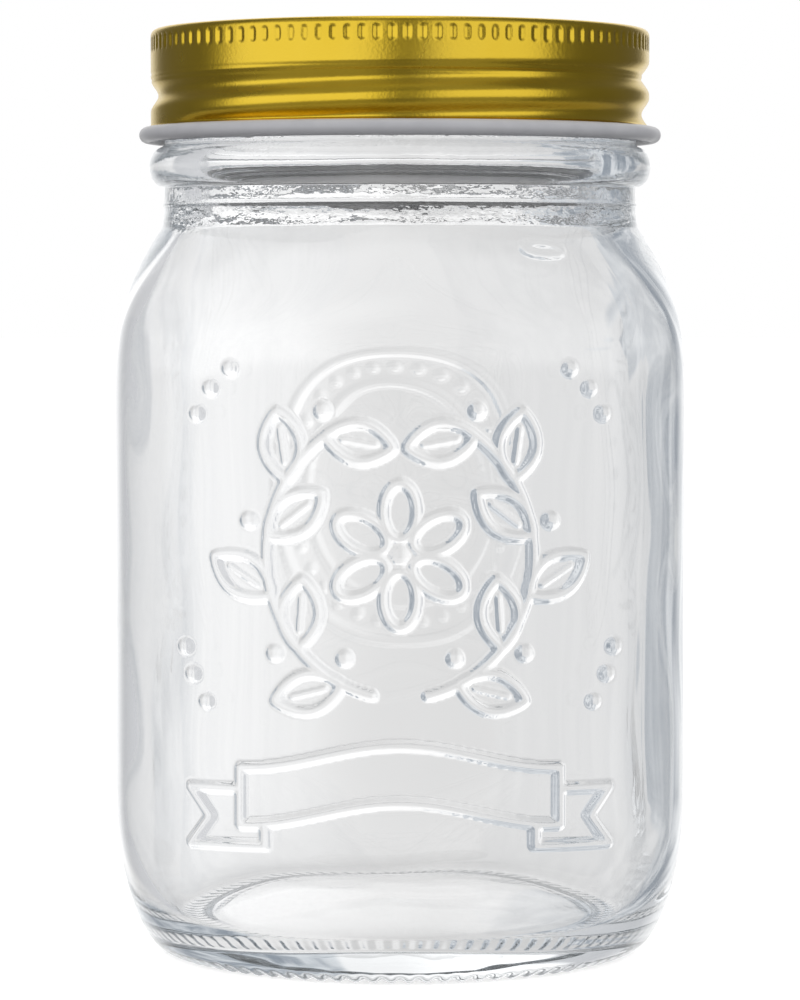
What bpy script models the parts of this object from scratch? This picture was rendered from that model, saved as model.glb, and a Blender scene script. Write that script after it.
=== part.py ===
"""A half-litre mason jar with its two-part screw closure, closed.

The jar stands on Z = 0 with its axis on Z and its front panel facing -Y. Four solids:
    glass_jar      rounded-square glass body, round neck, support bead and external thread
    sealing_ring   the soft compound ring that seals on the rim of the glass
    lid_disc       the pressed tinplate disc that carries the ring
    screw_band     the rolled tinplate band that holds the disc down

The band turns on its own empty, whose Z axis is the thread's axis.
"""

import math

import bpy
from mathutils import Vector

MM = 0.001

# Around the axis
SEGMENTS = 48
GAP = 0.3 * MM

# Closure heights, from the top down
TOTAL_HEIGHT = 129.2 * MM
BAND_SHEET = 0.35 * MM
DISC_SHEET = 0.3 * MM
COMPOUND_HEIGHT = 0.85 * MM
DISC_TOP = TOTAL_HEIGHT - BAND_SHEET - GAP
COMPOUND_TOP = DISC_TOP - DISC_SHEET - GAP
RIM_HEIGHT = COMPOUND_TOP - COMPOUND_HEIGHT - GAP

# Thread: right-handed, five turns to the inch
PITCH = 5.08 * MM
BAND_GROOVE_Z = 117.4 * MM          # centre of the band's rolled groove where it crosses +X
BAND_GROOVE_DEPTH = 1.05 * MM
BAND_GROOVE_HALF = 2.3 * MM
BAND_GROOVE_TURNS = (-0.45, 1.5)
GLASS_RIDGE_Z = BAND_GROOVE_Z + 2.3 * MM
GLASS_RIDGE_HEIGHT = 1.1 * MM
GLASS_RIDGE_HALF = 1.4 * MM
GLASS_RIDGE_TURNS = (-0.68, 1.0)
FADE_TURNS = 0.07

# Glass: half-widths across the flats
BODY_HALF = 39.7 * MM
WAIST_DEPTH = 0.1 * MM
BODY_LOW = 22.0 * MM
BODY_HIGH = 80.0 * MM
SHOULDER_RADIUS = 40.3 * MM         # in the vertical plane across the flats
NECK_RADIUS = 33.1 * MM
NECK_FILLET = 1.4 * MM
BEAD_RADIUS = 35.2 * MM
BEAD_Z = 110.0 * MM
BEAD_HALF_HEIGHT = 2.85 * MM
RIM_ROUND = 1.5 * MM
BASE_OUTER = 32.4 * MM
BASE_INNER = 29.6 * MM
BASE_RECESS = 1.8 * MM
SQUARENESS = 3.2                    # superellipse exponent of the body, 2 is a circle
SQUARE_HOLD = 1.4                   # how far up the shoulder the squareness is kept

# Glass: inside
CAVITY_HALF = 36.6 * MM
CAVITY_SQUARENESS = 2.9
CAVITY_LOW = 20.0 * MM
CAVITY_HIGH = 78.0 * MM
FLOOR_Z = 5.0 * MM
FLOOR_RADIUS = 30.0 * MM
CHOKE_RADIUS = 28.2 * MM
CHOKE_Z = 106.0 * MM
CAVITY_SWEEP = 2.8                   # how gently the inside starts to draw in
MOUTH_RADIUS = 28.8 * MM
MOUTH_Z = 118.0 * MM

# Screw band
BAND_INNER = 34.6 * MM
FLANGE_INNER = 30.6 * MM
BAND_CORNER = 0.9 * MM
CURL_RADIUS = 1.1 * MM
CURL_OUTER = 36.6 * MM
BAND_BOTTOM = 113.4 * MM

# Disc and sealing ring
DISC_RADIUS = 34.2 * MM
CHANNEL_INNER = 29.9 * MM
PANEL_DROP = 0.9 * MM
PANEL_RADIUS = 28.9 * MM
COMPOUND_OUTER = 33.4 * MM
COMPOUND_INNER = 30.4 * MM


# --- small geometry helpers ---------------------------------------------------------

def smoothstep(value):
    """0 below 0, 1 above 1 and a smooth rise between."""
    value = min(max(value, 0.0), 1.0)
    return value * value * (3.0 - 2.0 * value)


def between(start, end, count):
    """count evenly spaced numbers from start to end, both included."""
    return [start + (end - start) * i / (count - 1) for i in range(count)]


def ellipse(centre_r, centre_z, half_r, half_z, start_deg, end_deg, count):
    """Profile points on part of an ellipse, 0 degrees pointing outwards and 90 up."""
    angles = [math.radians(a) for a in between(start_deg, end_deg, count)]
    return [(centre_r + half_r * math.cos(a), centre_z + half_z * math.sin(a)) for a in angles]


def thread_bump(angle, z, helix_z, half_width, turns):
    """How far into a thread a point is, 0 to 1: a rounded section along a helix."""
    bump = 0.0
    first = math.floor(turns[0])
    last = math.ceil(turns[1])
    for whole in range(first, last + 1):
        turn = whole + (angle % math.tau) / math.tau
        distance = abs(z - helix_z - PITCH * turn) / half_width
        if distance >= 1.0:
            continue
        ends = smoothstep((turn - turns[0]) / FADE_TURNS) * smoothstep((turns[1] - turn) / FADE_TURNS)
        bump = max(bump, ends * 0.5 * (1.0 + math.cos(math.pi * distance)))
    return bump


def squared(angle, exponent):
    """How much further out a superellipse lies at this angle than across its flats."""
    total = abs(math.cos(angle)) ** exponent + abs(math.sin(angle)) ** exponent
    return total ** (-1.0 / exponent)


# --- scene and object helpers -------------------------------------------------------

def clear_scene():
    for obj in list(bpy.data.objects):
        bpy.data.objects.remove(obj, do_unlink=True)


def new_collection(name):
    collection = bpy.data.collections.new(name)
    bpy.context.scene.collection.children.link(collection)
    return collection


def principled(name, colour, roughness, metallic):
    material = bpy.data.materials.new(name)
    material.use_nodes = True
    shader = material.node_tree.nodes["Principled BSDF"]
    shader.inputs["Base Color"].default_value = (*colour, 1.0)
    shader.inputs["Roughness"].default_value = roughness
    shader.inputs["Metallic"].default_value = metallic
    return material


def turned(name, profile, collection, closed):
    """A solid of revolution about Z from a profile of (radius, z), made with a Screw modifier."""
    edges = [(i, i + 1) for i in range(len(profile) - 1)]
    if closed:
        edges.append((len(profile) - 1, 0))
    sketch = bpy.data.meshes.new(name + "_profile")
    sketch.from_pydata([(radius, 0.0, z) for radius, z in profile], edges, [])
    obj = bpy.data.objects.new(name, sketch)
    collection.objects.link(obj)
    screw = obj.modifiers.new("Turn", "SCREW")
    screw.steps = SEGMENTS
    screw.render_steps = SEGMENTS
    screw.use_merge_vertices = True
    screw.merge_threshold = 0.01 * MM
    depsgraph = bpy.context.evaluated_depsgraph_get()
    obj.data = bpy.data.meshes.new_from_object(obj.evaluated_get(depsgraph))
    obj.data.name = name
    obj.modifiers.remove(screw)
    bpy.data.meshes.remove(sketch)
    return obj


def reshape(obj, radius_at):
    """Move every vertex along its own radius to radius_at(radius, angle, z)."""
    for vertex in obj.data.vertices:
        x, y, z = vertex.co
        radius = math.hypot(x, y)
        if radius < GAP:
            continue
        scale = radius_at(radius, math.atan2(y, x), z) / radius
        vertex.co = Vector((x * scale, y * scale, z))


def finish(obj, material, sharp_deg):
    obj.data.materials.append(material)
    obj.data.shade_smooth()
    obj.data.set_sharp_from_angle(angle=math.radians(sharp_deg))


# --- glass jar ----------------------------------------------------------------------

def cavity_profile():
    """The inside of the glass, from the middle of the floor up to the rim."""
    floor = [(0.0, FLOOR_Z + 0.5 * MM), (FLOOR_RADIUS * 0.6, FLOOR_Z + 0.3 * MM)]
    heel = ellipse(FLOOR_RADIUS, CAVITY_LOW, CAVITY_HALF - FLOOR_RADIUS, CAVITY_LOW - FLOOR_Z, -90, 0, 5)
    shoulder = []
    for step in between(0.0, 1.0, 7):
        drop = (CAVITY_HALF - CHOKE_RADIUS) * (1.0 - (1.0 - step ** CAVITY_SWEEP) ** 2)
        shoulder.append((CAVITY_HALF - drop, CAVITY_HIGH + (CHOKE_Z - CAVITY_HIGH) * step))
    rim = ellipse(MOUTH_RADIUS + RIM_ROUND, RIM_HEIGHT - RIM_ROUND, RIM_ROUND, RIM_ROUND, 180, 90, 4)
    return floor + heel + shoulder + [(MOUTH_RADIUS, MOUTH_Z)] + rim


def shoulder_angle():
    """Where on its arc the shoulder meets the neck, in degrees above the horizontal."""
    return math.degrees(math.acos(1.0 - (BODY_HALF - NECK_RADIUS) / SHOULDER_RADIUS))


def shoulder_top():
    return BODY_HIGH + SHOULDER_RADIUS * math.sin(math.radians(shoulder_angle()))


def outer_profile():
    """The outside of the glass, from the rim down to the middle of the base recess."""
    rim = ellipse(NECK_RADIUS - RIM_ROUND, RIM_HEIGHT - RIM_ROUND, RIM_ROUND, RIM_ROUND, 90, 0, 4)
    thread = [(NECK_RADIUS, z) for z in between(RIM_HEIGHT - RIM_ROUND, BEAD_Z + BEAD_HALF_HEIGHT, 17)]
    bead = ellipse(NECK_RADIUS, BEAD_Z, BEAD_RADIUS - NECK_RADIUS, BEAD_HALF_HEIGHT, 60, -90, 6)
    top_angle = shoulder_angle()
    neck_foot = [(NECK_RADIUS, shoulder_top() + NECK_FILLET)]
    centre = BODY_HALF - SHOULDER_RADIUS
    shoulder = ellipse(centre, BODY_HIGH, SHOULDER_RADIUS, SHOULDER_RADIUS, top_angle - 2.0, 0, 7)
    waist = [(BODY_HALF - WAIST_DEPTH, (BODY_HIGH + BODY_LOW) / 2.0)]
    heel = ellipse(BASE_OUTER, BODY_LOW, BODY_HALF - BASE_OUTER, BODY_LOW, 0, -90, 7)
    recess_edge = [(BASE_INNER, 0.0), (BASE_INNER - BASE_RECESS, BASE_RECESS * 0.6)]
    recess = [(BASE_INNER * 0.5, BASE_RECESS * 0.9), (0.0, BASE_RECESS)]
    return rim + thread[1:] + bead + neck_foot + shoulder + waist + heel + recess_edge + recess


def body_share(z):
    """1 on the squared body, 0 on the round neck and on the round base."""
    above = SQUARE_HOLD * (shoulder_top() - z) / (shoulder_top() - BODY_HIGH)
    below = z / BODY_LOW
    return smoothstep(above) * smoothstep(below)


def make_glass_jar(collection):
    cavity = cavity_profile()
    outer = outer_profile()
    jar = turned("glass_jar", cavity + outer, collection, closed=False)
    inside = {(round(r / MM, 3), round(z / MM, 3)) for r, z in cavity}

    def radius_at(radius, angle, z):
        is_inside = (round(radius / MM, 3), round(z / MM, 3)) in inside
        exponent = CAVITY_SQUARENESS if is_inside else SQUARENESS
        shaped = radius * squared(angle, 2.0 + (exponent - 2.0) * body_share(z))
        if not is_inside and z > BEAD_Z + BEAD_HALF_HEIGHT * 0.9:
            bump = thread_bump(angle, z, GLASS_RIDGE_Z, GLASS_RIDGE_HALF, GLASS_RIDGE_TURNS)
            shaped += GLASS_RIDGE_HEIGHT * bump
        return shaped

    reshape(jar, radius_at)
    finish(jar, principled("clear_glass", (0.93, 0.96, 0.95), 0.03, 0.0), 40)
    return jar


# --- closure ------------------------------------------------------------------------

def make_sealing_ring(collection):
    """A flat ring with rounded lower edges that seals on the rim."""
    bottom = COMPOUND_TOP - COMPOUND_HEIGHT
    chamfer = COMPOUND_HEIGHT * 0.35
    profile = [
        (COMPOUND_INNER, COMPOUND_TOP),
        (COMPOUND_OUTER, COMPOUND_TOP),
        (COMPOUND_OUTER, bottom + chamfer),
        (COMPOUND_OUTER - chamfer, bottom),
        (COMPOUND_INNER + chamfer, bottom),
        (COMPOUND_INNER, bottom + chamfer),
    ]
    ring = turned("sealing_ring", profile, collection, closed=True)
    finish(ring, principled("sealing_compound", (0.55, 0.54, 0.5), 0.6, 0.0), 35)
    return ring


def make_lid_disc(collection):
    """The pressed disc: a flat channel over the rim, a step and a slightly lower centre panel."""
    top = [
        (0.0, DISC_TOP - PANEL_DROP),
        (PANEL_RADIUS, DISC_TOP - PANEL_DROP),
        (CHANNEL_INNER, DISC_TOP),
        (DISC_RADIUS - DISC_SHEET, DISC_TOP),
    ]
    edge = [(DISC_RADIUS, DISC_TOP - DISC_SHEET / 2.0)]
    under = [(radius, z - DISC_SHEET) for radius, z in reversed(top)]
    disc = turned("lid_disc", top + edge + under, collection, closed=False)
    finish(disc, principled("lid_lacquer", (0.72, 0.52, 0.12), 0.3, 1.0), 30)
    return disc


def band_profile():
    """The band's section, up its inner side, over the flange, down its outer side to the curl."""
    outer = BAND_INNER + BAND_SHEET
    wall_low = BAND_BOTTOM + 2.0 * CURL_RADIUS
    wall_high = TOTAL_HEIGHT - BAND_CORNER
    rows = between(wall_low, wall_high, 18)
    inner_side = [(BAND_INNER, BAND_BOTTOM + CURL_RADIUS)] + [(BAND_INNER, z) for z in rows]
    inner_corner = BAND_CORNER - BAND_SHEET
    under = ellipse(BAND_INNER - inner_corner, wall_high, inner_corner, inner_corner, 45, 90, 2)
    flange = [(FLANGE_INNER, TOTAL_HEIGHT - BAND_SHEET), (FLANGE_INNER, TOTAL_HEIGHT)]
    corner = ellipse(outer - BAND_CORNER, wall_high, BAND_CORNER, BAND_CORNER, 90, 30, 3)
    outer_side = [(outer, z) for z in reversed(rows)]
    curl = ellipse(CURL_OUTER - CURL_RADIUS, BAND_BOTTOM + CURL_RADIUS, CURL_RADIUS, CURL_RADIUS, 80, -90, 7)
    foot = [(BAND_INNER + BAND_SHEET * 0.3, BAND_BOTTOM + BAND_SHEET)]
    return inner_side + under + flange + corner + outer_side + curl + foot


def make_screw_band(collection, axis):
    band = turned("screw_band", band_profile(), collection, closed=True)
    outer = BAND_INNER + BAND_SHEET
    curl_top = BAND_BOTTOM + 2.0 * CURL_RADIUS

    def radius_at(radius, angle, z):
        if not BAND_INNER - GAP < radius < outer + GAP:
            return radius
        bump = thread_bump(angle, z, BAND_GROOVE_Z, BAND_GROOVE_HALF, BAND_GROOVE_TURNS)
        above_curl = smoothstep((z - curl_top + BAND_SHEET) / BAND_SHEET)
        return radius - BAND_GROOVE_DEPTH * bump * above_curl

    reshape(band, radius_at)
    finish(band, principled("band_lacquer", (0.72, 0.52, 0.12), 0.3, 1.0), 40)
    band.parent = axis
    return band


def main():
    clear_scene()
    collection = new_collection("mason_jar")
    thread_axis = bpy.data.objects.new("thread_axis", None)
    collection.objects.link(thread_axis)
    make_glass_jar(collection)
    make_sealing_ring(collection)
    make_lid_disc(collection)
    make_screw_band(collection, thread_axis)


main()
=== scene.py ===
"""The looks of a half-litre mason jar: moulded glass, gold screw band, disc and sealing ring.

Lengths are in metres. The big sizes come from the frame, and the rest are named here.
"""
import math

import bpy
import numpy as np
from mathutils import Euler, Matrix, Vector
from mathutils.kdtree import KDTree


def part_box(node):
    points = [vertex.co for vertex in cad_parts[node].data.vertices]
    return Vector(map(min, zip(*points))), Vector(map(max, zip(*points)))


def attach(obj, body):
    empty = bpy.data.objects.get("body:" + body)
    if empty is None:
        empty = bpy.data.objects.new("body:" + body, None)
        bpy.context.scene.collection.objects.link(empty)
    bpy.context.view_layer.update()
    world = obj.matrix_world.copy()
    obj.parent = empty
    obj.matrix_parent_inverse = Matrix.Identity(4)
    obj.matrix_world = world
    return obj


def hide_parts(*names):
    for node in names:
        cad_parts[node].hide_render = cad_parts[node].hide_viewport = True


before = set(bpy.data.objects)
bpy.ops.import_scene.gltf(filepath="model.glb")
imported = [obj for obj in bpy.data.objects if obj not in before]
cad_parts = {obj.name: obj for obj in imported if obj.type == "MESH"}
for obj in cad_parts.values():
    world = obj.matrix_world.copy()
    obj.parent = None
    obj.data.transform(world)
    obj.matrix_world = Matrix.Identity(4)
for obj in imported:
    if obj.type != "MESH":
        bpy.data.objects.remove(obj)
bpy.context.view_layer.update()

MM = 0.001

# --- sizes taken from the frame -------------------------------------------------------
JAR_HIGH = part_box("glass_jar")[1]
BAND_LOW, BAND_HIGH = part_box("screw_band")
DISC_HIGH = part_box("lid_disc")[1]
RING_LOW, RING_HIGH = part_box("sealing_ring")

BODY_HALF = JAR_HIGH.x
RIM_HEIGHT = JAR_HIGH.z
TOTAL_HEIGHT = BAND_HIGH.z
BAND_BOTTOM = BAND_LOW.z
CURL_OUTER = BAND_HIGH.x
DISC_RADIUS = DISC_HIGH.x
DISC_TOP = DISC_HIGH.z

# --- outside of the glass -------------------------------------------------------------
WAIST_DEPTH = 0.1 * MM
BODY_LOW = 22.0 * MM
BODY_HIGH = 80.0 * MM
SHOULDER_RADIUS = 40.3 * MM
SHOULDER_POWER = 2.9        # the shoulder's drop grows with this power of the height
SHOULDER_END = 0.985        # share of the shoulder left free of the neck's fillet
SOFT_REACH = 4.0 * MM       # how far shoulder and heel run on into the straight wall
SOFT_START = 2.4            # how gently the heel leaves the wall
HEEL_SAMPLES = 2000         # points on the curve that the heel's even steps are measured along
NECK_RADIUS = 33.1 * MM
NECK_FILLET = 1.4 * MM
BEAD_RADIUS = 35.2 * MM
BEAD_Z = 110.0 * MM
BEAD_HALF_HEIGHT = 2.85 * MM
BEAD_END = 82.0             # degrees from level at which the bead meets the neck
RIM_ROUND = 1.5 * MM
BASE_OUTER = 32.4 * MM
BASE_INNER = 29.6 * MM
BASE_RECESS = 1.8 * MM
SQUARENESS = 3.2            # superellipse exponent of the body; 2 is round
SQUARE_HOLD = 1.4           # how far up the shoulder the squareness is kept
PARTING_LINES = ((104.7 * MM, 0.24 * MM), (102.7 * MM, 0.16 * MM))    # height on Z, how proud
PARTING_HALF = 0.32 * MM
BASE_RIBS = 86
RIB_DEPTH = 0.42 * MM
RIB_REACH = 1.6 * MM
RIB_FADE = 0.8 * MM         # how far inside the base ring the ribs fade out

# --- inside of the glass --------------------------------------------------------------
CAVITY_HALF = 36.6 * MM
CAVITY_SQUARENESS = 2.9
CAVITY_LOW = 20.0 * MM
CAVITY_HIGH = 78.0 * MM
FLOOR_Z = 5.0 * MM
FLOOR_RISE = 1.2 * MM
FLOOR_RADIUS = 30.0 * MM
CHOKE_RADIUS = 28.2 * MM
CHOKE_Z = 106.0 * MM
CAVITY_SWEEP = 2.8          # how gently the inside starts to draw in
MOUTH_RADIUS = 28.8 * MM
MOUTH_Z = 118.0 * MM
RIPPLE_RISE = 15.0 * MM     # height above the floor at which the waves are full
# Waves in the blown inner wall: size in mm, lobes round the jar, turn per metre up, phase.
RIPPLES = ((0.07, 3, 90.0, 0.7), (0.05, 5, -160.0, 0.0), (0.03, 9, 260.0, 2.0))

# --- the part of the outside that carries relief --------------------------------------
PANEL_ROW = 0.3 * MM        # spacing of the mesh rows there
PANEL_LOW = 12.0 * MM
PANEL_HIGH = 101.0 * MM
PANEL_HALF = 33.0 * MM
# Columns of the jar's mesh, in degrees: from, to, spacing.
FRONT_COLUMNS = (224.0, 316.0, 0.32)
BACK_COLUMNS = (46.0, 134.0, 0.55)
SIDE_COLUMNS = ((-44.0, 45.5, 1.4), (135.0, 223.5, 1.4))

# --- thread ---------------------------------------------------------------------------
PITCH = 5.08 * MM
BAND_GROOVE_Z = 117.4 * MM
BAND_GROOVE_DEPTH = 1.05 * MM
BAND_GROOVE_HALF = 2.3 * MM
BAND_GROOVE_TURNS = (-0.45, 1.5)      # where the groove starts and ends, in turns
GLASS_RIDGE_Z = BAND_GROOVE_Z + 2.3 * MM
GLASS_RIDGE_HEIGHT = 1.1 * MM
GLASS_RIDGE_HALF = 1.4 * MM
GLASS_RIDGE_TURNS = (-0.68, 1.0)
FADE_TURNS = 0.07           # turns over which a thread runs out

# --- closure --------------------------------------------------------------------------
SHEET = 0.3 * MM
BAND_OUTER = 34.95 * MM
FLANGE_INNER = 30.6 * MM
BAND_CORNER = 0.9 * MM
CURL_RADIUS = 1.1 * MM
CURL_BLEND = 0.35 * MM      # height over which the groove dies away into the curl
KNURLS = 110
COLUMNS_PER_KNURL = 8
KNURL_Z = TOTAL_HEIGHT - 2.1 * MM
KNURL_HALF_HEIGHT = 1.15 * MM
KNURL_HALF_WIDTH = 0.52 * MM
KNURL_DEPTH = 0.19 * MM
KNURL_EDGE = 2.2            # how steep the sides of a dimple are
STEP_LINES = ((122.95 * MM, 0.09 * MM), (122.15 * MM, 0.13 * MM))     # height on Z, depth
STEP_LINE_HALF = 0.36 * MM
CHANNEL_INNER = 29.9 * MM
DISC_DROP = 0.9 * MM
DISC_PANEL_RADIUS = 28.9 * MM
# Raised rings pressed into the disc: radius, half width, height.
DISC_RINGS = ((25.5 * MM, 1.1 * MM, 0.25 * MM), (22.3 * MM, 0.9 * MM, 0.18 * MM))
BUTTON_RADIUS = 12.0 * MM
BUTTON_SLOPE = 3.0 * MM
BUTTON_DEPTH = 0.35 * MM
DISC_COLUMNS = 180
COMPOUND_INNER = 30.4 * MM
RING_COLUMNS = 240
CROWN_SHARE = 0.65          # share of the ring's height that is rounded


# --- geometry helpers -----------------------------------------------------------------

def smoothstep(value):
    value = np.clip(value, 0.0, 1.0)
    return value * value * (3.0 - 2.0 * value)


def ellipse(centre_r, centre_z, half_r, half_z, start_deg, end_deg, count):
    """Profile points on part of an ellipse, 0 degrees pointing outwards and 90 up."""
    angles = np.radians(np.linspace(start_deg, end_deg, count))
    return [(centre_r + half_r * math.cos(a), centre_z + half_z * math.sin(a)) for a in angles]


def straight(start, end, spacing):
    """Points from start up to, but not including, end, about spacing apart."""
    count = max(1, round(math.dist(start, end) / spacing))
    steps = np.arange(count) / count
    return [(start[0] + (end[0] - start[0]) * t, start[1] + (end[1] - start[1]) * t) for t in steps]


def thread_bump(angle, z, helix_z, half_width, turns):
    """How far into a thread each point is, 0 to 1: a rounded section along a helix."""
    bump = np.zeros(np.broadcast(angle, z).shape)
    for whole in range(math.floor(turns[0]), math.ceil(turns[1]) + 1):
        turn = whole + (angle % math.tau) / math.tau
        distance = np.clip(np.abs(z - helix_z - PITCH * turn) / half_width, 0.0, 1.0)
        ends = smoothstep((turn - turns[0]) / FADE_TURNS) * smoothstep((turns[1] - turn) / FADE_TURNS)
        bump = np.maximum(bump, ends * 0.5 * (1.0 + np.cos(np.pi * distance)))
    return bump


def squared(angle, exponent):
    """How much further out a superellipse lies at this angle than across its flats."""
    total = np.abs(np.cos(angle)) ** exponent + np.abs(np.sin(angle)) ** exponent
    return total ** (-1.0 / exponent)


def turned(profile, columns):
    """The radius and height of a profile's points in every column, and the columns' angles."""
    angles = (np.arange(columns) / columns * math.tau)[None, :]
    radius = np.repeat(profile[:, 0:1], columns, axis=1)
    z = np.repeat(profile[:, 1:2], columns, axis=1)
    return radius, z, angles


def revolve(name, radius, z, angles, wrap_profile):
    """A closed mesh from rows of radius and z (rows by columns) turned about Z.

    Without wrap_profile the first and last rows lie on the axis and close as poles."""
    rows, cols = radius.shape
    points = np.stack([radius * np.cos(angles), radius * np.sin(angles), z], axis=2)
    ring = np.arange(cols)
    after = (ring + 1) % cols
    faces = []
    if wrap_profile:
        vertices = points.reshape(-1, 3)
        index = np.arange(rows * cols).reshape(rows, cols)
        pairs = [(r, (r + 1) % rows) for r in range(rows)]
    else:
        poles = points[[0, -1], 0]
        vertices = np.concatenate([points[1:-1].reshape(-1, 3), poles])
        index = np.arange((rows - 2) * cols).reshape(rows - 2, cols)
        first, last = len(vertices) - 2, len(vertices) - 1
        pairs = [(r, r + 1) for r in range(rows - 3)]
        faces += np.stack([index[0], index[0][after], np.full(cols, first)], axis=1).tolist()
        faces += np.stack([index[-1][after], index[-1], np.full(cols, last)], axis=1).tolist()
    for low, high in pairs:
        quad = [index[low], index[high], index[high][after], index[low][after]]
        faces += np.stack(quad, axis=1).tolist()
    mesh = bpy.data.meshes.new(name)
    mesh.from_pydata(vertices.tolist(), [], faces)
    mesh.validate()
    mesh.shade_smooth()
    obj = bpy.data.objects.new(name, mesh)
    bpy.context.scene.collection.objects.link(obj)
    return obj


# --- relief on the glass --------------------------------------------------------------
# Strokes are drawn on the panel, in mm: across from the middle, and up from the base.
# Each is (points, half width, height).

SAMPLE = 0.15                   # spacing of the points along a stroke
LINE_ROUNDNESS = 0.75           # lower makes a stroke's section boxier

# Kinds of stroke: half width, height.
STROKE = (0.85, 0.72)
FINE_STROKE = (0.5, 0.4)
FAINT_STROKE = (0.7, 0.2)
BERRY = (1.3, 0.7)
LOOSE_DOT = (1.15, 0.6)
FLOWER_HEART = (1.9, 0.8)

WREATH_CENTRE = (0.0, 58.0)
WREATH_HALF = (17.5, 19.0)
WREATH_SWEEP = (-78.0, 60.0)    # the stem's first and last angle, in degrees
LEAF_SWEEP = (-64.0, 56.0)      # the angles of the first and last leaf
LEAVES_PER_SIDE = 6
LEAF_LENGTH = 9.0
LEAF_HALF_WIDTH = 2.5
LEAF_FULLNESS = 0.8             # lower makes a leaf blunter
MIDRIB = (0.25, 0.75)           # where the midrib starts and ends along the leaf
OUTER_LEAF_TURN = 50.0
INNER_LEAF_TURN = 134.0
BERRY_SHIFT = 4.0               # degrees past the leaf's root
BERRY_INSIDE = 0.83
BERRY_OUTSIDE = 1.16
LOOSE_DOTS = ((25.0, 80.0), (22.4, 82.6), (26.8, 76.6), (27.4, 42.0), (25.6, 38.4), (28.4, 45.6))

FLOWER_RADIUS = 5.8
PETALS = 6
PETAL_HALF = (3.7, 2.2)

RIBBON_Z = 27.5
RIBBON_HALF_SPAN = 21.0
RIBBON_HALF_HEIGHT = 3.8
RIBBON_WAVE = 1.5
RIBBON_TAIL = 6.6
RIBBON_NOTCH = 4.0
RIBBON_TUCK = 3.2
RIBBON_FALL = 2.8

MOULD_MARK = (19.0, 98.4)
MOULD_MARK_HALF = (2.6, 0.75)
MOULD_MARK_TILT = -6.0

# The medallion on the back: half sizes of its two ovals and of its ring of beads.
MEDALLION_CENTRE = (0.0, 62.0)
MEDALLION_OUTER = (22.0, 23.0)
MEDALLION_INNER = (16.0, 17.0)
MEDALLION_RING = (19.0, 20.0)
MEDALLION_BEADS = 32
OUTER_LINE = (1.0, 0.3)
INNER_LINE = (0.9, 0.25)
RING_BEAD = (1.1, 0.28)


def oval(cx, cy, half_a, half_b, tilt_deg=0.0):
    """Points round an ellipse, turned by a tilt."""
    count = int(math.tau * max(half_a, half_b) / SAMPLE)
    t = np.linspace(0.0, math.tau, count, endpoint=False)
    a, b = half_a * np.cos(t), half_b * np.sin(t)
    c, s = math.cos(math.radians(tilt_deg)), math.sin(math.radians(tilt_deg))
    return np.stack([cx + a * c - b * s, cy + a * s + b * c], axis=1)


def line(start, end):
    """Points from start to end."""
    count = max(2, int(math.dist(start, end) / SAMPLE))
    t = np.linspace(0.0, 1.0, count)[:, None]
    return np.array(start) * (1.0 - t) + np.array(end) * t


def dot(x, y):
    """A single point, which the relief makes into a round dot."""
    return np.array([[x, y]])


def heading(start, direction_deg, length):
    """The point that lies length away from start in a direction."""
    a = math.radians(direction_deg)
    return (start[0] + length * math.cos(a), start[1] + length * math.sin(a))


def leaf(root, direction_deg):
    """A pointed leaf growing from root: its outline, and a midrib down its middle."""
    t = np.linspace(0.0, 1.0, int(LEAF_LENGTH / SAMPLE))
    width = LEAF_HALF_WIDTH * np.sin(np.pi * t) ** LEAF_FULLNESS
    sides = np.concatenate([np.stack([t, width], 1), np.stack([t[::-1], -width[::-1]], 1)])
    along = sides[:, 0] * LEAF_LENGTH
    across = sides[:, 1]
    c, s = math.cos(math.radians(direction_deg)), math.sin(math.radians(direction_deg))
    outline = np.stack([root[0] + along * c - across * s, root[1] + along * s + across * c], axis=1)
    midrib = line(*[heading(root, direction_deg, share * LEAF_LENGTH) for share in MIDRIB])
    return [(outline, *STROKE), (midrib, *FINE_STROKE)]


def mirrored(stroke):
    """The same points on the other side of the panel's middle."""
    return stroke * np.array([-1.0, 1.0])


def wreath_point(angle_deg, scale=1.0):
    """A point on the wreath's oval stem, or inside or outside it by a scale."""
    a = math.radians(angle_deg)
    return (
        WREATH_CENTRE[0] + scale * WREATH_HALF[0] * math.cos(a),
        WREATH_CENTRE[1] + scale * WREATH_HALF[1] * math.sin(a),
    )


def front_strokes():
    """A laurel wreath around a flower, over a plain ribbon, with loose dots at the corners."""
    stem = np.array([wreath_point(a) for a in np.linspace(*WREATH_SWEEP, 330)])
    right = [(stem, *STROKE)]
    for i, angle in enumerate(np.linspace(*LEAF_SWEEP, LEAVES_PER_SIDE)):
        outward = i % 2 == 0
        right += leaf(wreath_point(angle), angle + (OUTER_LEAF_TURN if outward else INNER_LEAF_TURN))
        if i == 0 or not outward:
            berry = wreath_point(angle + BERRY_SHIFT, BERRY_INSIDE if outward else BERRY_OUTSIDE)
            right.append((dot(*berry), *BERRY))
    right += [(dot(x, y), *LOOSE_DOT) for x, y in LOOSE_DOTS]
    strokes = []
    for points, half, height in right:
        strokes += [(points, half, height), (mirrored(points), half, height)]
    for k in range(PETALS):
        tilt = (k + 0.5) * 360.0 / PETALS
        middle = heading(WREATH_CENTRE, tilt, FLOWER_RADIUS)
        strokes.append((oval(*middle, *PETAL_HALF, tilt), *STROKE))
    strokes.append((dot(*WREATH_CENTRE), *FLOWER_HEART))
    strokes.append((oval(*MOULD_MARK, *MOULD_MARK_HALF, MOULD_MARK_TILT), *FAINT_STROKE))
    return strokes + ribbon_strokes()


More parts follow.
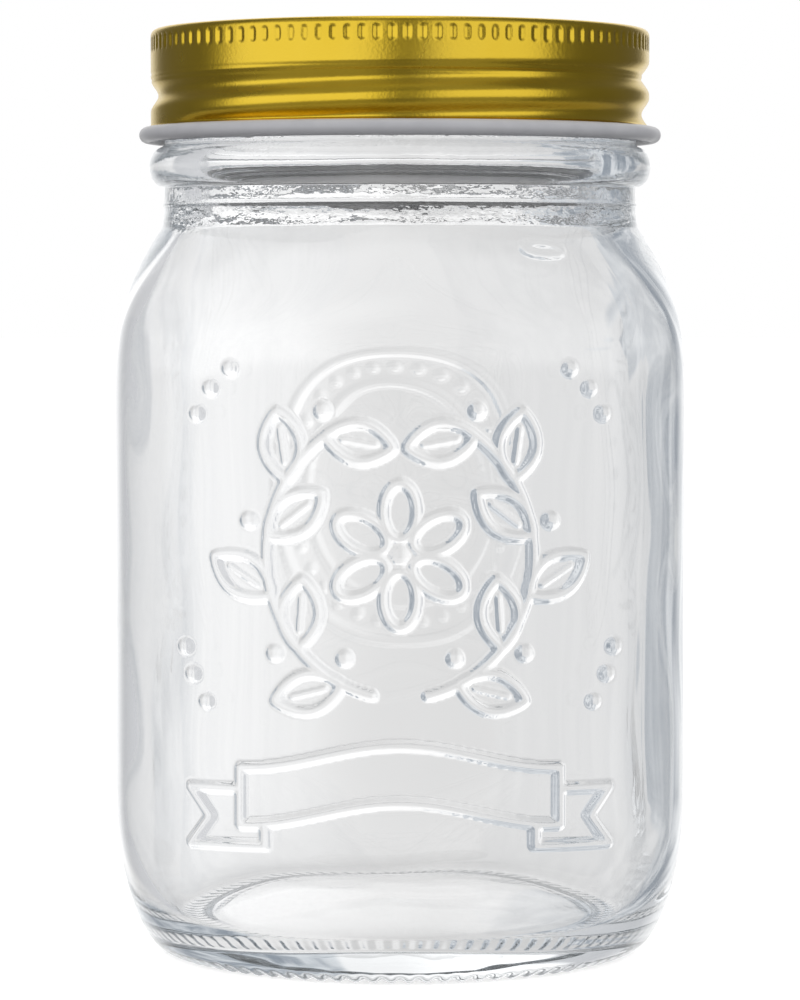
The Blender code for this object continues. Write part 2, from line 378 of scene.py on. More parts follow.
def ribbon_strokes():
    """A waving ribbon with swallow-tail ends, blank inside."""
    x = np.linspace(-RIBBON_HALF_SPAN, RIBBON_HALF_SPAN, 300)
    middle = RIBBON_Z + RIBBON_WAVE * np.cos(x / RIBBON_HALF_SPAN * math.pi)
    outlines = [np.stack([x, middle + side * RIBBON_HALF_HEIGHT], axis=1) for side in (1.0, -1.0)]
    end_y = RIBBON_Z - RIBBON_WAVE
    high, low = end_y + RIBBON_HALF_HEIGHT, end_y - RIBBON_HALF_HEIGHT
    foot = low - RIBBON_FALL
    for side in (-1.0, 1.0):
        edge, tail = side * RIBBON_HALF_SPAN, side * (RIBBON_HALF_SPAN + RIBBON_TAIL)
        notch = side * (RIBBON_HALF_SPAN + RIBBON_NOTCH)
        inner = side * (RIBBON_HALF_SPAN - RIBBON_TUCK)
        outlines.append(line((edge, high), (edge, low)))
        corners = [(edge, high - RIBBON_FALL), (tail, high - RIBBON_FALL)]
        corners += [(notch, (high + low) / 2 - RIBBON_FALL)]
        corners += [(tail, foot), (inner, foot), (inner, low), (edge, low)]
        outlines += [line(start, end) for start, end in zip(corners, corners[1:])]
    return [(points, *STROKE) for points in outlines]


def back_strokes():
    """A plain double oval with a ring of beads between its lines."""
    outer = (oval(*MEDALLION_CENTRE, *MEDALLION_OUTER), *OUTER_LINE)
    inner = (oval(*MEDALLION_CENTRE, *MEDALLION_INNER), *INNER_LINE)
    strokes = [outer, inner]
    for k in range(MEDALLION_BEADS):
        a = math.tau * k / MEDALLION_BEADS
        x = MEDALLION_CENTRE[0] + MEDALLION_RING[0] * math.cos(a)
        y = MEDALLION_CENTRE[1] + MEDALLION_RING[1] * math.sin(a)
        strokes.append((dot(x, y), *RING_BEAD))
    return strokes


def relief_height(across, up, strokes):
    """The height of the relief at each point of a panel, in metres: rounded beads of glass."""
    shape = across.shape
    flat = np.stack([across.ravel(), up.ravel()], axis=1) / MM
    height = np.zeros(len(flat))
    for half, peak in sorted({(h, p) for _, h, p in strokes}):
        points = np.concatenate([s for s, h, p in strokes if (h, p) == (half, peak)])
        tree = KDTree(len(points))
        for i, (x, y) in enumerate(points):
            tree.insert((x, y, 0.0), i)
        tree.balance()
        distance = np.array([tree.find((x, y, 0.0))[2] for x, y in flat])
        section = peak * np.clip(1.0 - (distance / half) ** 2, 0.0, 1.0) ** LINE_ROUNDNESS
        height = np.maximum(height, section)
    return height.reshape(shape) * MM


# --- glass jar ------------------------------------------------------------------------

def shoulder_top():
    inward = BODY_HALF - NECK_RADIUS
    return BODY_HIGH + math.sqrt(inward * (2.0 * SHOULDER_RADIUS - inward))


def soft_heel(low_radius, low_z, half, top_z, spacing):
    """A heel that leaves the wall without a sudden change of curvature, in even steps down."""
    angles = np.linspace(0.0, math.pi / 2, HEEL_SAMPLES)
    radius = low_radius + (half - low_radius) * np.cos(angles)
    z = top_z - (top_z - low_z) * np.sin(angles) ** (2.0 / SOFT_START)
    length = np.concatenate([[0.0], np.cumsum(np.hypot(np.diff(radius), np.diff(z)))])
    even = np.linspace(0.0, length[-1], round(length[-1] / spacing) + 1)
    return list(zip(np.interp(even, length, radius), np.interp(even, length, z)))


def cavity_profile():
    """The inside of the glass, from the middle of the floor up to the rim."""
    floor = [(FLOOR_RADIUS * t, FLOOR_Z + FLOOR_RISE * (1.0 - t * t)) for t in np.linspace(0.0, 0.95, 12)]
    heel = soft_heel(FLOOR_RADIUS, FLOOR_Z, CAVITY_HALF, CAVITY_LOW + SOFT_REACH, 0.8 * MM)[::-1]
    wall = straight((CAVITY_HALF, CAVITY_LOW + SOFT_REACH), (CAVITY_HALF, CAVITY_HIGH), 3.0 * MM)[1:]
    shoulder = []
    for step in np.linspace(0.0, 1.0, 48):
        drop = (CAVITY_HALF - CHOKE_RADIUS) * (1.0 - (1.0 - step ** CAVITY_SWEEP) ** 2)
        shoulder.append((CAVITY_HALF - drop, CAVITY_HIGH + (CHOKE_Z - CAVITY_HIGH) * step))
    neck = []
    for step in np.linspace(0.1, 1.0, 8):
        gain = (MOUTH_RADIUS - CHOKE_RADIUS) * float(smoothstep(step))
        neck.append((CHOKE_RADIUS + gain, CHOKE_Z + (MOUTH_Z - CHOKE_Z) * step))
    rim = ellipse(MOUTH_RADIUS + RIM_ROUND, RIM_HEIGHT - RIM_ROUND, RIM_ROUND, RIM_ROUND, 180, 90, 7)
    return floor + heel + wall + shoulder + neck + rim


def outer_profile():
    """The outside of the glass, from the rim down to the middle of the base recess."""
    rim = ellipse(NECK_RADIUS - RIM_ROUND, RIM_HEIGHT - RIM_ROUND, RIM_ROUND, RIM_ROUND, 90, 0, 7)
    bead_top = BEAD_Z + BEAD_HALF_HEIGHT
    thread = straight((NECK_RADIUS, RIM_HEIGHT - RIM_ROUND), (NECK_RADIUS, bead_top), 0.36 * MM)[1:]
    bead_depth = BEAD_RADIUS - NECK_RADIUS
    bead = ellipse(NECK_RADIUS, BEAD_Z, bead_depth, BEAD_HALF_HEIGHT, BEAD_END, -BEAD_END, 30)
    foot_top = shoulder_top() + NECK_FILLET
    neck = straight((NECK_RADIUS, BEAD_Z - BEAD_HALF_HEIGHT), (NECK_RADIUS, foot_top), 0.2 * MM)
    start = BODY_HIGH - SOFT_REACH
    shoulder = []
    for step in np.linspace(SHOULDER_END, 0.0, 88):
        drop = (BODY_HALF - NECK_RADIUS) * step ** SHOULDER_POWER
        shoulder.append((BODY_HALF - drop, start + (shoulder_top() - start) * step))
    span = start - BODY_LOW - SOFT_REACH
    body = []
    rows = round(span / PANEL_ROW)
    for step in np.arange(1, rows) / rows:
        waist = WAIST_DEPTH * math.sin(math.pi * step) ** 2
        body.append((BODY_HALF - waist, start - span * step))
    heel = soft_heel(BASE_OUTER, 0.0, BODY_HALF, BODY_LOW + SOFT_REACH, PANEL_ROW)
    ring = straight((BASE_OUTER, 0.0), (BASE_INNER, 0.0), 0.4 * MM)[1:]
    slope = straight((BASE_INNER, 0.0), (BASE_INNER - BASE_RECESS, BASE_RECESS * 0.6), 0.5 * MM)
    inner = BASE_INNER - BASE_RECESS
    recess = [(inner * t, BASE_RECESS * (1.0 - 0.4 * t * t)) for t in np.linspace(1.0, 0.0, 12)]
    return rim + thread + bead + neck + shoulder + body + heel + ring + slope + recess


def body_share(z):
    """1 on the squared body, 0 on the round neck and on the round base."""
    above = SQUARE_HOLD * (shoulder_top() - z) / (shoulder_top() - BODY_HIGH)
    return smoothstep(above) * smoothstep(z / BODY_LOW)


def jar_columns():
    """Column angles: closest across the front panel, close across the back, wider at the sides."""
    runs = (FRONT_COLUMNS, BACK_COLUMNS, *SIDE_COLUMNS)
    degrees = np.concatenate([np.arange(*run) for run in runs])
    return np.sort(np.radians(degrees) % math.tau)


def make_glass_jar():
    cavity, outer = cavity_profile(), outer_profile()
    profile = np.array(cavity + outer)
    inside = (np.arange(len(profile)) < len(cavity))[:, None]
    angles = jar_columns()[None, :]
    z = np.repeat(profile[:, 1:2], angles.shape[1], axis=1)
    base_radius = np.repeat(profile[:, 0:1], angles.shape[1], axis=1)
    exponent = np.where(inside, CAVITY_SQUARENESS, SQUARENESS)
    radius = base_radius * squared(angles, 2.0 + (exponent - 2.0) * body_share(z))

    above_bead = (~inside) & (z > BEAD_Z + BEAD_HALF_HEIGHT * 0.9) & (base_radius > NECK_RADIUS - 0.01 * MM)
    ridge = thread_bump(angles, z, GLASS_RIDGE_Z, GLASS_RIDGE_HALF, GLASS_RIDGE_TURNS)
    radius += np.where(above_bead, GLASS_RIDGE_HEIGHT * ridge, 0.0)

    for line_z, height in PARTING_LINES:
        ring = smoothstep(1.0 - np.abs(z - line_z) / PARTING_HALF)
        radius += np.where(inside, 0.0, height * ring)

    ripple = sum(size * np.sin(lobes * angles + z * turn + phase) for size, lobes, turn, phase in RIPPLES)
    walls = smoothstep((z - FLOOR_Z) / RIPPLE_RISE)
    radius += np.where(inside, MM * ripple * walls, 0.0)

    across = radius * np.cos(angles)
    depth = radius * np.sin(angles)
    panel = (~inside) & (z > PANEL_LOW) & (z < PANEL_HIGH) & (np.abs(across) < PANEL_HALF)
    for front, strokes in ((True, front_strokes()), (False, back_strokes())):
        here = panel & ((depth < 0.0) if front else (depth > 0.0))
        lift = np.zeros(radius.shape)
        lift[here] = relief_height(across[here], z[here], strokes)
        radius += lift

    ribs = 0.5 - 0.5 * np.cos(BASE_RIBS * angles)
    on_ring = smoothstep((base_radius - BASE_INNER + RIB_FADE) / RIB_FADE) * (~inside)
    z = z + RIB_DEPTH * ribs * on_ring * smoothstep(1.0 - z / RIB_REACH)
    return revolve("jar_glass", radius, z, angles, wrap_profile=False)


# --- closure --------------------------------------------------------------------------

# The curl's slot holds the white lacquer painted darker grey: painted shade on the curl, not a different
# coating.
GOLD, WHITE, CURL_WHITE_PAINTED_SHADE = 0, 1, 2


def band_profile():
    """The band's section, up its inner side, over the flange, down its outer side to the curl.

    Each point is (radius, z, on the wall, the material slot of the strip that starts there)."""
    inner = BAND_OUTER - SHEET
    wall_low = BAND_BOTTOM + 2.0 * CURL_RADIUS
    wall_high = TOTAL_HEIGHT - BAND_CORNER
    rise = straight((inner, wall_low), (inner, wall_high), 0.5 * MM)
    fall = straight((BAND_OUTER, wall_high), (BAND_OUTER, wall_low), 0.2 * MM)
    round_in = BAND_CORNER - SHEET
    foot_in = straight((inner, BAND_BOTTOM + CURL_RADIUS), (inner, wall_low), 0.4 * MM)
    under = ellipse(inner - round_in, wall_high, round_in, round_in, 0, 90, 6)
    flange = ellipse(FLANGE_INNER, TOTAL_HEIGHT - SHEET / 2, SHEET / 2, SHEET / 2, 270, 90, 6)
    corner_start = BAND_OUTER - BAND_CORNER
    top = straight((FLANGE_INNER + SHEET, TOTAL_HEIGHT), (corner_start, TOTAL_HEIGHT), 0.6 * MM)
    corner = ellipse(corner_start, wall_high, BAND_CORNER, BAND_CORNER, 90, 4, 9)
    curl_centre = (CURL_OUTER - CURL_RADIUS, BAND_BOTTOM + CURL_RADIUS)
    curl = ellipse(*curl_centre, CURL_RADIUS, CURL_RADIUS, 112, -115, 24)
    rows = [(r, z, 0, WHITE) for r, z in foot_in] + [(r, z, 1, WHITE) for r, z in rise]
    rows += [(r, z, 0, WHITE) for r, z in under + flange[:3]] + [(r, z, 0, GOLD) for r, z in flange[3:]]
    rows += [(r, z, 0, GOLD) for r, z in top + corner] + [(r, z, 1, GOLD) for r, z in fall]
    # The curl takes the darker grey copy of the white lacquer, which is painted shade.
    rows += [(r, z, 0, CURL_WHITE_PAINTED_SHADE) for r, z in curl]
    return np.array(rows)


def make_screw_band(gold, white, curl_white_painted_shade):
    rows = band_profile()
    columns = KNURLS * COLUMNS_PER_KNURL
    radius, z, angles = turned(rows, columns)
    wall = rows[:, 2:3]
    groove = thread_bump(angles, z, BAND_GROOVE_Z, BAND_GROOVE_HALF, BAND_GROOVE_TURNS)
    curl_top = BAND_BOTTOM + 2.0 * CURL_RADIUS
    above_curl = smoothstep((z - curl_top + CURL_BLEND) / CURL_BLEND)
    radius -= wall * BAND_GROOVE_DEPTH * groove * above_curl
    for line_z, depth in STEP_LINES:
        radius -= wall * depth * smoothstep(1.0 - np.abs(z - line_z) / STEP_LINE_HALF)
    step = math.tau / KNURLS
    around = ((angles + step / 2) % step - step / 2) * BAND_OUTER / KNURL_HALF_WIDTH
    upright = (z - KNURL_Z) / KNURL_HALF_HEIGHT
    dimple = smoothstep(KNURL_EDGE * (1.0 - np.sqrt(around ** 2 + np.abs(upright) ** 3)))
    radius -= wall * KNURL_DEPTH * dimple
    band = revolve("band", radius, z, angles, wrap_profile=True)
    for material in (gold, white, curl_white_painted_shade):
        band.data.materials.append(material)
    slots = np.repeat(rows[:, 3].astype(np.int32), columns)
    band.data.polygons.foreach_set("material_index", slots)
    return band


def make_lid_disc(gold, white):
    """The pressed disc: a channel over the rim, a lower panel, two raised rings, a dished button."""
    # Radii of the rows in mm, closest together over the step.
    panel, step, rim = np.linspace(0.0, 28.0, 57), np.linspace(28.2, 30.6, 14), np.linspace(31.0, 33.9, 9)
    r = np.concatenate([panel, step, rim]) * MM
    channel = smoothstep((r - DISC_PANEL_RADIUS) / (CHANNEL_INNER - DISC_PANEL_RADIUS))
    top = DISC_TOP - DISC_DROP * (1.0 - channel)
    for ring_radius, half_width, height in DISC_RINGS:
        top += height * smoothstep(1.0 - np.abs(r - ring_radius) / half_width)
    top -= BUTTON_DEPTH * smoothstep((BUTTON_RADIUS - r) / BUTTON_SLOPE)
    edge = ellipse(DISC_RADIUS - SHEET / 2, DISC_TOP - SHEET / 2, SHEET / 2, SHEET / 2, 70, -70, 5)
    upper = list(zip(r, top))
    under = [(radius, height - SHEET) for radius, height in reversed(upper)]
    radius, z, angles = turned(np.array(upper + edge + under), DISC_COLUMNS)
    disc = revolve("disc", radius, z, angles, wrap_profile=False)
    disc.data.materials.append(gold)
    disc.data.materials.append(white)
    for face in disc.data.polygons:
        face.material_index = 1 if face.normal.z < -0.2 else 0
    return disc


def make_sealing_ring(material):
    """The compound ring: flat where it is bonded, crowned where it meets the rim."""
    inner, outer = COMPOUND_INNER, RING_HIGH.x
    middle, half = (inner + outer) / 2, (outer - inner) / 2
    top, height = RING_HIGH.z, RING_HIGH.z - RING_LOW.z
    crown_z = top - height * (1.0 - CROWN_SHARE)
    crown = ellipse(middle, crown_z, half, height * CROWN_SHARE, 0, -180, 24)
    bond = straight((inner, top), (outer, top), 0.4 * MM) + [(outer, top)]
    radius, z, angles = turned(np.array(bond + crown), RING_COLUMNS)
    ring = revolve("seal", radius, z, angles, wrap_profile=True)
    ring.data.materials.append(material)
    return ring


# --- materials ------------------------------------------------------------------------

GLASS_IOR = 1.52
GLASS_TINT = (0.70, 0.76, 0.80, 1.0)
GLASS_DENSITY = 4.0
GLASS_BUMP = 0.0004
WAVE_SHARE = 0.6
PEBBLE_SHARE = 0.17
PEBBLES_START = (0.0990, 0.1025)            # the pebbles fade in between these heights
SMOOTH_BEAD = (0.1070, 0.1112, 0.0006)      # from, to, softness of the ends
ROUGH_CREASE = (0.1118, 0.1138, 0.0003)
BEAD_SMOOTHING = 0.85
CREASE_ROUGHNESS = 1.5
PATCH_FADE = (0.40, 0.60, 0.25, 1.25)       # the pebbles' strength follows the patches

# Noise patterns: scale, detail and, where they are stretched, by how much along X, Y and Z.
GLASS_WAVES = (55.0, 1.0, (1.0, 1.0, 0.45))
GLASS_PEBBLES = (900.0, 2.0, (0.7, 0.7, 1.0))
GLASS_PATCHES = (90.0, 1.0, (1.0, 1.0, 2.5))
GOLD_HAZE = (60.0, 4.0)
BAND_GRAIN = (2500.0, 2.0)
DISC_GRAIN = (2000.0, 2.0)
LACQUER_MOTTLE = (300.0, 3.0)
COMPOUND_SPECKLE = (1200.0, 2.0)
ROOM_STREAKS = (7.0, 3.0, (1.6, 1.0, 0.5))

# A coating's darker and lighter shade, and the part of its pattern that goes from one to the other.
GOLD_SHADES = ((0.66, 0.455, 0.036, 1.0), (0.72, 0.505, 0.05, 1.0))
GOLD_SPREAD = (0.35, 0.65)
WHITE_SHADES = ((0.78, 0.78, 0.79, 1.0), (0.86, 0.86, 0.87, 1.0))
# The curl's greys are the white lacquer painted darker, standing in for the shade on the curl: painted
# shade.
CURL_PAINTED_SHADE_GREYS = ((0.34, 0.34, 0.36, 1.0), (0.41, 0.41, 0.43, 1.0))
COMPOUND_SHADES = ((0.40, 0.39, 0.35, 1.0), (0.50, 0.49, 0.45, 1.0))
FULL_SPREAD = (0.0, 1.0)

# Roughness over a pattern: from, to, roughness before, roughness after.
GOLD_ROUGHNESS = (0.3, 0.7, 0.22, 0.28)
LACQUER_ROUGHNESS = (0.3, 0.7, 0.32, 0.42)
COMPOUND_ROUGHNESS = (0.3, 0.7, 0.55, 0.7)
LACQUER_BUMP = 0.00002
COMPOUND_BUMP = 0.00005


def new_material(name):
    """A node material, with its nodes, its links and its main shader."""
    material = bpy.data.materials.new(name)
    material.use_nodes = True
    nodes, links = material.node_tree.nodes, material.node_tree.links
    return material, nodes, links, nodes["Principled BSDF"]


def noise(nodes, links, source, scale, detail, stretch=None):
    """Smooth noise over the coordinates in source, which may be stretched first."""
    texture = nodes.new("ShaderNodeTexNoise")
    texture.inputs["Scale"].default_value = scale
    texture.inputs["Detail"].default_value = detail
    if stretch is not None:
        mapping = nodes.new("ShaderNodeMapping")
        mapping.inputs["Scale"].default_value = stretch
        links.new(source, mapping.inputs["Vector"])
        source = mapping.outputs["Vector"]
    links.new(source, texture.inputs["Vector"])
    return texture.outputs["Fac"]


def map_range(nodes, links, source, from_low, from_high, to_low, to_high):
    """A soft step: to_low where source is from_low, to_high where it is from_high."""
    node = nodes.new("ShaderNodeMapRange")
    node.interpolation_type = "SMOOTHSTEP"
    node.inputs["From Min"].default_value = from_low
    node.inputs["From Max"].default_value = from_high
    node.inputs["To Min"].default_value = to_low
    node.inputs["To Max"].default_value = to_high
    links.new(source, node.inputs["Value"])
    return node.outputs["Result"]


def maths(nodes, links, operation, a, b):
    """One operation on two values, each a number or a socket."""
    node = nodes.new("ShaderNodeMath")
    node.operation = operation
    for socket, value in zip(node.inputs, (a, b)):
        if isinstance(value, (int, float)):
            socket.default_value = value
        else:
            links.new(value, socket)
    return node.outputs["Value"]


def band_between(nodes, links, value, low, high, soft):
    """1 between low and high, 0 outside, with soft edges."""
    rise = map_range(nodes, links, value, low - soft, low + soft, 0.0, 1.0)
    fall = map_range(nodes, links, value, high - soft, high + soft, 1.0, 0.0)
    return maths(nodes, links, "MULTIPLY", rise, fall)


def add_bump(nodes, links, shader, height, distance):
    """Bumps that follow height, as deep as distance in metres."""
    bump = nodes.new("ShaderNodeBump")
    bump.inputs["Distance"].default_value = distance
    bump.inputs["Strength"].default_value = 1.0
    links.new(height, bump.inputs["Height"])
    links.new(bump.outputs["Normal"], shader.inputs["Normal"])


def glass_material():
    """Clear, faintly grey-blue glass: long soft waves everywhere, and a chilled, pebbly neck."""
    material, nodes, links, shader = new_material("clear_glass")
    shader.inputs["Base Color"].default_value = (1.0, 1.0, 1.0, 1.0)
    shader.inputs["Transmission Weight"].default_value = 1.0
    shader.inputs["Roughness"].default_value = 0.0
    shader.inputs["IOR"].default_value = GLASS_IOR
    place = nodes.new("ShaderNodeTexCoord").outputs["Object"]
    waves = noise(nodes, links, place, *GLASS_WAVES)
    pebbles = noise(nodes, links, place, *GLASS_PEBBLES)
    split = nodes.new("ShaderNodeSeparateXYZ")
    links.new(place, split.inputs["Vector"])
    z = split.outputs["Z"]
    neck = map_range(nodes, links, z, *PEBBLES_START, 0.0, 1.0)
    bead = band_between(nodes, links, z, *SMOOTH_BEAD)
    smooth = maths(nodes, links, "SUBTRACT", 1.0, maths(nodes, links, "MULTIPLY", bead, BEAD_SMOOTHING))
    crease = band_between(nodes, links, z, *ROUGH_CREASE)
    rough = maths(nodes, links, "ADD", neck, maths(nodes, links, "MULTIPLY", crease, CREASE_ROUGHNESS))
    chilled = maths(nodes, links, "MULTIPLY", rough, smooth)
    patches = noise(nodes, links, place, *GLASS_PATCHES)
    patchy = map_range(nodes, links, patches, *PATCH_FADE)
    chilled = maths(nodes, links, "MULTIPLY", chilled, patchy)
    pebbly = maths(nodes, links, "MULTIPLY", pebbles, chilled)
    pebbly = maths(nodes, links, "MULTIPLY", pebbly, PEBBLE_SHARE)
    height = maths(nodes, links, "ADD", maths(nodes, links, "MULTIPLY", waves, WAVE_SHARE), pebbly)
    add_bump(nodes, links, shader, height, GLASS_BUMP)
    absorption = nodes.new("ShaderNodeVolumeAbsorption")
    absorption.inputs["Color"].default_value = GLASS_TINT
    absorption.inputs["Density"].default_value = GLASS_DENSITY
    links.new(absorption.outputs["Volume"], nodes["Material Output"].inputs["Volume"])
    return material


def paint(nodes, links, shader, pattern, shades, spread, roughness):
    """Colour between two shades, and roughness, that both follow a pattern."""
    tint = nodes.new("ShaderNodeValToRGB")
    for i, (position, shade) in enumerate(zip(spread, shades)):
        tint.color_ramp.elements[i].position = position
        tint.color_ramp.elements[i].color = shade
    links.new(pattern, tint.inputs["Fac"])
    links.new(tint.outputs["Color"], shader.inputs["Base Color"])
    links.new(map_range(nodes, links, pattern, *roughness), shader.inputs["Roughness"])


def gold_material(name, grain_pattern):
    """Satin gold lacquer on tinplate, with a fine grain and a cloudy haze."""
    material, nodes, links, shader = new_material(name)
    shader.inputs["Metallic"].default_value = 1.0
    place = nodes.new("ShaderNodeTexCoord").outputs["Object"]
    haze = noise(nodes, links, place, *GOLD_HAZE)
    grain = noise(nodes, links, place, *grain_pattern)
    paint(nodes, links, shader, haze, GOLD_SHADES, GOLD_SPREAD, GOLD_ROUGHNESS)
    add_bump(nodes, links, shader, grain, LACQUER_BUMP)
    return material


def mottled_material(name, pattern, shades, roughness, bump):
    """A matt coating whose colour, roughness and bumps follow one pattern."""
    material, nodes, links, shader = new_material(name)
    place = nodes.new("ShaderNodeTexCoord").outputs["Object"]
    mottle = noise(nodes, links, place, *pattern)
    paint(nodes, links, shader, mottle, shades, FULL_SPREAD, roughness)
    add_bump(nodes, links, shader, mottle, bump)
    return material


def lacquer_material(name, shades):
    """Sanitary lacquer, slightly mottled between two shades."""
    return mottled_material(name, LACQUER_MOTTLE, shades, LACQUER_ROUGHNESS, LACQUER_BUMP)


def compound_material():
    """Speckled grey sealing compound."""
    looks = (COMPOUND_SHADES, COMPOUND_ROUGHNESS, COMPOUND_BUMP)
    return mottled_material("sealing_compound", COMPOUND_SPECKLE, *looks)


# --- studio ---------------------------------------------------------------------------
# A fade is (from, to, value before, value after) over one part of a ray's direction.

FLOOR_SIZE = 12.0
FLOOR_DROP = 0.05 * MM
FLOOR_GREY = (0.9, 0.9, 0.9, 1.0)
FLOOR_ROUGHNESS = 0.9
FLOOR_GLOW = 0.5
PLAIN_WHITE = (1.0, 1.0, 1.0, 1.0)

# What the metal mirrors. Boxes are (from, to, softness), in degrees round from the front.
LEFT_BOX = (-86.0, -7.0, 6.0)
RIGHT_BOX = (13.0, 72.0, 6.0)
RIGHT_BOX_SHARE = 0.9
BOX_STRENGTH = 1.1
BOX_HEIGHT = (-0.26, 0.50, 0.20)
BOX_TALL_SHARE = 0.80       # the part of a box's light that keeps to its height
BOX_FLAT_SHARE = 0.20       # the part that shows at every height
BACK_LEFT_FADE = (-144.0, -164.0, 0.0, 1.0)
BACK_RIGHT_FADE = (142.0, 162.0, 0.0, 1.0)
OVERHEAD_FADE = (0.965, 0.99, 0.0, 0.8)
BACKDROP_LEVEL = 0.16

# What the glass bends into view.
ACROSS_FADE = (-0.24, 0.06, 0.97, 0.75)
BELOW_FADE = (-0.42, -0.21, 0.88, 1.0)
ABOVE_FADE = (-0.03, 0.01, 0.0, 0.09)
HIGH_FADE = (0.08, 0.16, 0.0, 0.30)
SLANT_FADE = (-0.03, 0.10, 0.0, 0.14)
RIGHT_EDGE_FADE = (0.265, 0.29, 0.0, 1.0)
LEFT_EDGE_FADE = (-0.42, -0.50, 0.0, 1.0)
LEFT_GREY = (0.69, 0.70, 0.72, 1.0)
ROOM_DARK = (0.30, 0.34, 0.39, 1.0)
ROOM_PALE = (0.76, 0.79, 0.82, 1.0)
ROOM_PATCHES = (0.38, 0.62, 0.0, 1.0)

# What lights the matt surfaces, from below to above.
MATT_FADE = (-0.5, 0.5, 0.55, 1.60)


def make_floor():
    """A pale floor, bright enough to look white, which the glass and metal don't show."""
    bpy.ops.mesh.primitive_plane_add(size=FLOOR_SIZE, location=(0.0, 0.0, -FLOOR_DROP))
    floor = bpy.context.object
    floor.name = "floor"
    material, _, _, shader = new_material("pale_floor")
    shader.inputs["Base Color"].default_value = FLOOR_GREY
    shader.inputs["Roughness"].default_value = FLOOR_ROUGHNESS
    shader.inputs["Specular IOR Level"].default_value = 0.0
    shader.inputs["Emission Color"].default_value = PLAIN_WHITE
    shader.inputs["Emission Strength"].default_value = FLOOR_GLOW
    floor.data.materials.append(material)
    floor.visible_glossy = False
    floor.visible_transmission = False
    floor.visible_diffuse = False


def chosen(nodes, links, factor, without, with_it):
    """A colour: without where factor is 0, with_it where it is 1."""
    mix = nodes.new("ShaderNodeMix")
    mix.data_type = "RGBA"
    for socket, value in ((mix.inputs[0], factor), (mix.inputs[6], without), (mix.inputs[7], with_it)):
        if isinstance(value, tuple):
            socket.default_value = value
        else:
            links.new(value, socket)
    return mix.outputs[2]


def grey(nodes, links, value):
    """The same number in all three channels."""
    combine = nodes.new("ShaderNodeCombineXYZ")
    for axis in "XYZ":
        links.new(value, combine.inputs[axis])
    return combine.outputs["Vector"]


def soft_boxes(nodes, links, x, y, z):
    """What the metal mirrors: two tall soft boxes with a gap between, a bright back and top."""
    azimuth = maths(nodes, links, "ARCTAN2", x, maths(nodes, links, "MULTIPLY", y, -1.0))
    azimuth = maths(nodes, links, "MULTIPLY", azimuth, 180.0 / math.pi)
    left = band_between(nodes, links, azimuth, *LEFT_BOX)
    right = band_between(nodes, links, azimuth, *RIGHT_BOX)
    front = maths(nodes, links, "ADD", left, maths(nodes, links, "MULTIPLY", right, RIGHT_BOX_SHARE))
    height = band_between(nodes, links, z, *BOX_HEIGHT)
    height = maths(nodes, links, "MULTIPLY", height, BOX_TALL_SHARE)
    height = maths(nodes, links, "ADD", height, BOX_FLAT_SHARE)
    boxes = maths(nodes, links, "MULTIPLY", maths(nodes, links, "MULTIPLY", front, height), BOX_STRENGTH)
    back_left = map_range(nodes, links, azimuth, *BACK_LEFT_FADE)
    back_right = map_range(nodes, links, azimuth, *BACK_RIGHT_FADE)
    overhead = map_range(nodes, links, z, *OVERHEAD_FADE)
    total = maths(nodes, links, "ADD", boxes, maths(nodes, links, "ADD", back_left, back_right))
    total = maths(nodes, links, "ADD", total, overhead)
    return grey(nodes, links, maths(nodes, links, "ADD", total, BACKDROP_LEVEL))


def light_tent(nodes, links, direction, x, z):
    """What the glass bends into view: a white sweep, brighter to the left, that ends a little
    way to the right in a streaky blue-grey room, and darkens below the table's edge."""
    across = map_range(nodes, links, x, *ACROSS_FADE)
    below = map_range(nodes, links, z, *BELOW_FADE)
    above = map_range(nodes, links, z, *ABOVE_FADE)
    high = map_range(nodes, links, z, *HIGH_FADE)
    upright = maths(nodes, links, "ADD", maths(nodes, links, "ADD", below, above), high)
    sweep = grey(nodes, links, maths(nodes, links, "MULTIPLY", across, upright))
    streaks = noise(nodes, links, direction, *ROOM_STREAKS)
    patch = map_range(nodes, links, streaks, *ROOM_PATCHES)
    room = chosen(nodes, links, patch, ROOM_DARK, ROOM_PALE)
    slant = map_range(nodes, links, z, *SLANT_FADE)
    to_right = map_range(nodes, links, maths(nodes, links, "ADD", x, slant), *RIGHT_EDGE_FADE)
    to_left = map_range(nodes, links, x, *LEFT_EDGE_FADE)
    tent = chosen(nodes, links, to_left, sweep, LEFT_GREY)
    return chosen(nodes, links, to_right, tent, room)


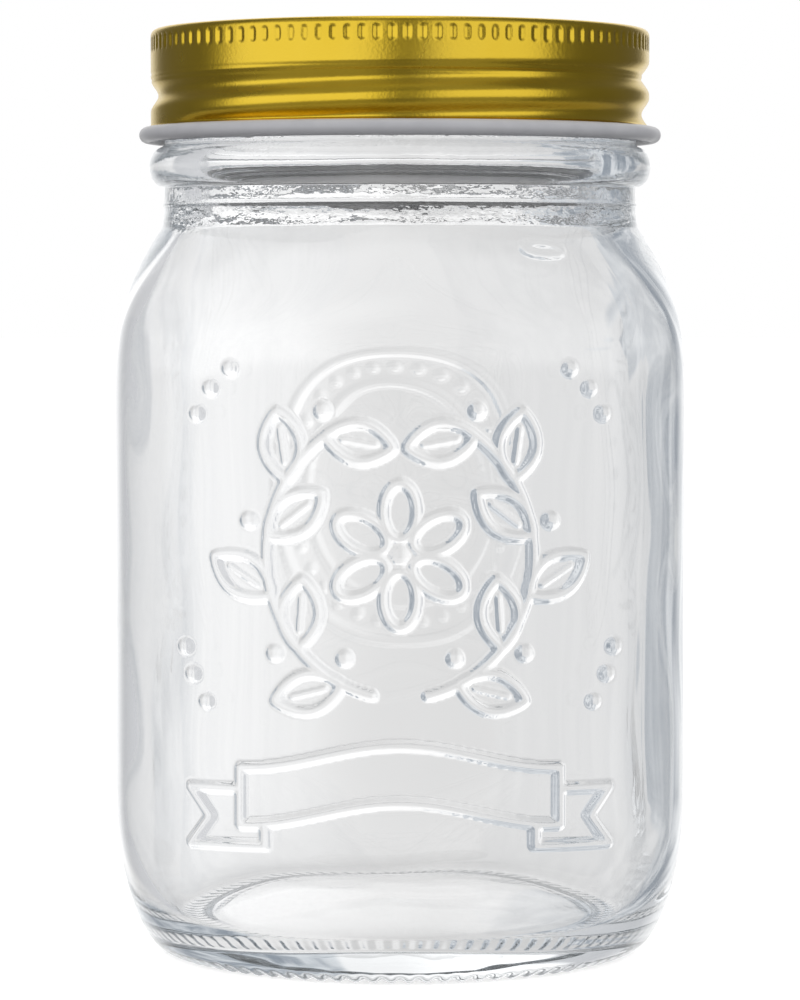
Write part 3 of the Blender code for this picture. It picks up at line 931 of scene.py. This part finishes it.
def make_world():
    """White to the camera, soft boxes for the metal, a light tent through the glass."""
    world = bpy.data.worlds.new("studio")
    bpy.context.scene.world = world
    world.use_nodes = True
    nodes, links = world.node_tree.nodes, world.node_tree.links
    background = nodes["Background"]
    coords = nodes.new("ShaderNodeTexCoord")
    direction = coords.outputs["Generated"]
    split = nodes.new("ShaderNodeSeparateXYZ")
    links.new(direction, split.inputs["Vector"])
    x, y, z = (split.outputs[axis] for axis in "XYZ")
    boxes = soft_boxes(nodes, links, x, y, z)
    tent = light_tent(nodes, links, direction, x, z)
    # The soft boxes show only in rays that a surface mirrors before they have passed any glass.
    path = nodes.new("ShaderNodeLightPath")
    unbent = maths(nodes, links, "SUBTRACT", 1.0, path.outputs["Transmission Depth"])
    unbent = maths(nodes, links, "MAXIMUM", unbent, 0.0)
    mirrored_ray = maths(nodes, links, "MULTIPLY", path.outputs["Is Glossy Ray"], unbent)
    shown = chosen(nodes, links, mirrored_ray, tent, boxes)
    from_above = grey(nodes, links, map_range(nodes, links, z, *MATT_FADE))
    scattered = maths(nodes, links, "MINIMUM", path.outputs["Diffuse Depth"], 1.0)
    shown = chosen(nodes, links, scattered, shown, from_above)
    shown = chosen(nodes, links, path.outputs["Is Camera Ray"], shown, PLAIN_WHITE)
    links.new(shown, background.inputs["Color"])


CAMERA_DISTANCE = 0.588
CAMERA_HEIGHT = 0.0944
CAMERA_PITCH = 3.034        # degrees below level
CAMERA_LENS = 150.1
BOUNCES = 48                # fewer leave dark specks where the glass is thick


def make_camera():
    """A long lens in front of the jar, level with its shoulder and looking slightly down."""
    data = bpy.data.cameras.new("camera")
    data.sensor_width = 36.0
    data.lens = CAMERA_LENS
    data.clip_start = 0.01
    data.clip_end = 50.0
    camera = bpy.data.objects.new("camera", data)
    bpy.context.scene.collection.objects.link(camera)
    camera.location = (0.0, -CAMERA_DISTANCE, CAMERA_HEIGHT)
    camera.rotation_euler = Euler((math.radians(90.0 - CAMERA_PITCH), 0.0, 0.0))
    bpy.context.scene.camera = camera


def view_and_bounces():
    """Plain display colours, and enough bounces for light to leave the glass."""
    scene = bpy.context.scene
    scene.view_settings.view_transform = "Standard"
    scene.view_settings.look = "None"
    scene.cycles.max_bounces = BOUNCES
    scene.cycles.transmission_bounces = BOUNCES
    scene.cycles.glossy_bounces = BOUNCES


# --- assembly -------------------------------------------------------------------------

def main():
    make_camera()
    view_and_bounces()
    make_world()
    make_floor()

    white = lacquer_material("white_lacquer", WHITE_SHADES)
    # A darker copy of the white lacquer for the curl: painted shade, not a different lacquer.
    curl_white_painted_shade = lacquer_material("curl_lacquer_painted_shade", CURL_PAINTED_SHADE_GREYS)
    jar = make_glass_jar()
    jar.data.materials.append(glass_material())
    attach(jar, "jar")
    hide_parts("glass_jar")

    band = make_screw_band(gold_material("band_gold", BAND_GRAIN), white, curl_white_painted_shade)
    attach(band, "band")
    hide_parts("screw_band")

    disc = make_lid_disc(gold_material("disc_gold", DISC_GRAIN), white)
    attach(disc, "lid")
    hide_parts("lid_disc")

    seal = make_sealing_ring(compound_material())
    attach(seal, "lid")
    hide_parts("sealing_ring")


main()
